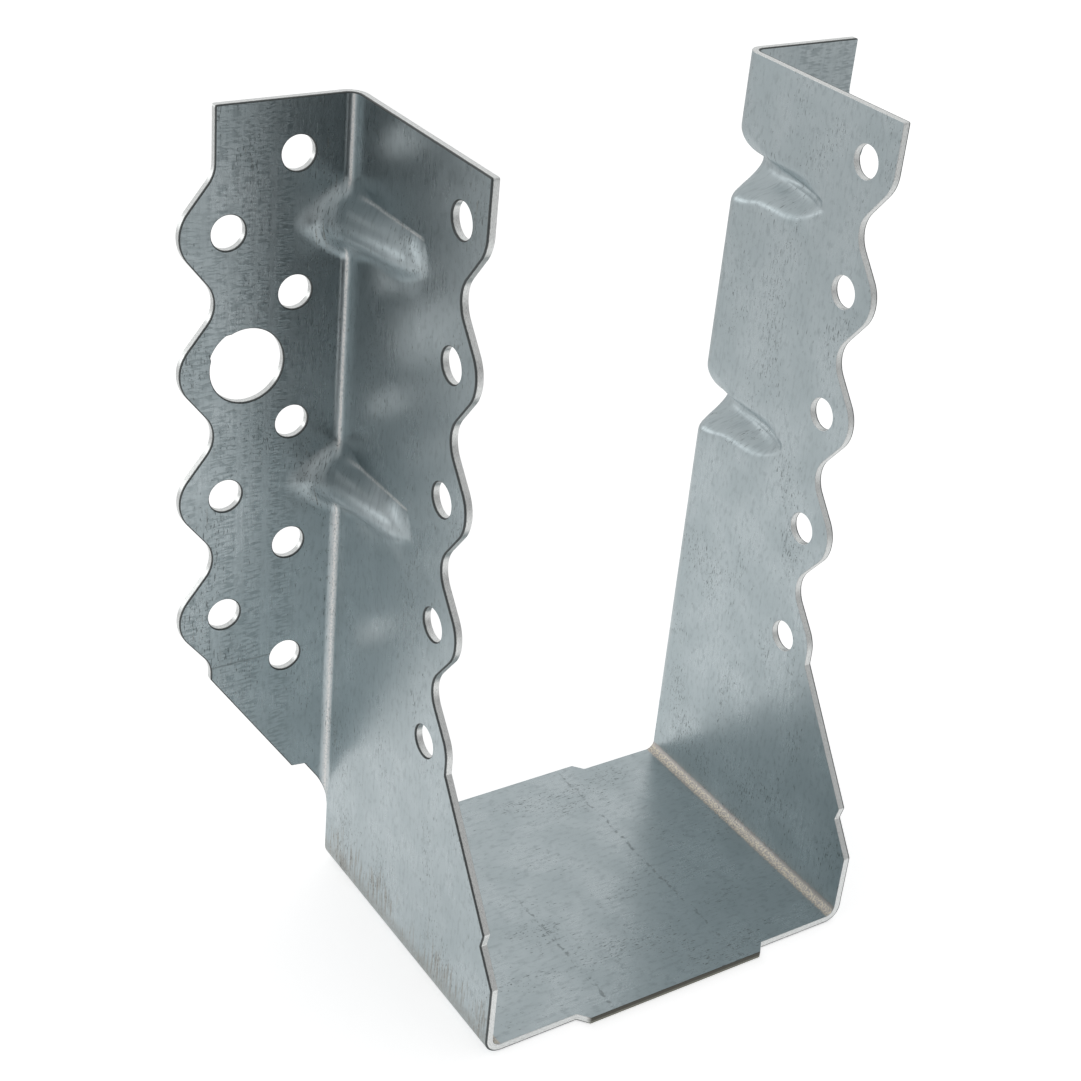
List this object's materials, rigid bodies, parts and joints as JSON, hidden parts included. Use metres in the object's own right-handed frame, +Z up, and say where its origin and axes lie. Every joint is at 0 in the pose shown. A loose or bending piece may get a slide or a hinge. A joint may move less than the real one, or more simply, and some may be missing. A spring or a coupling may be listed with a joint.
{
  "type": "joist hanger",
  "caption": "Face-fix joist hanger folded from one galvanised steel sheet: a U stirrup with scalloped, nailed side plates and outward flanges stiffened by beads.",
  "frame": {"origin": "on the plane the hanger stands on, under the middle of the seat", "axes": "+X across the joist, +Y into the header that the flanges lie on, +Z up along the side plates"},
  "size_m": [0.1168, 0.0538, 0.1277],
  "materials": {
    "galvanised_sheet": "continuously galvanised sheet, rolled and semi-glossy, with bright sheared edges"
  },
  "bodies": {
    "root": {"joist_hanger": "galvanised_sheet"}
  },
  "joints": []
}
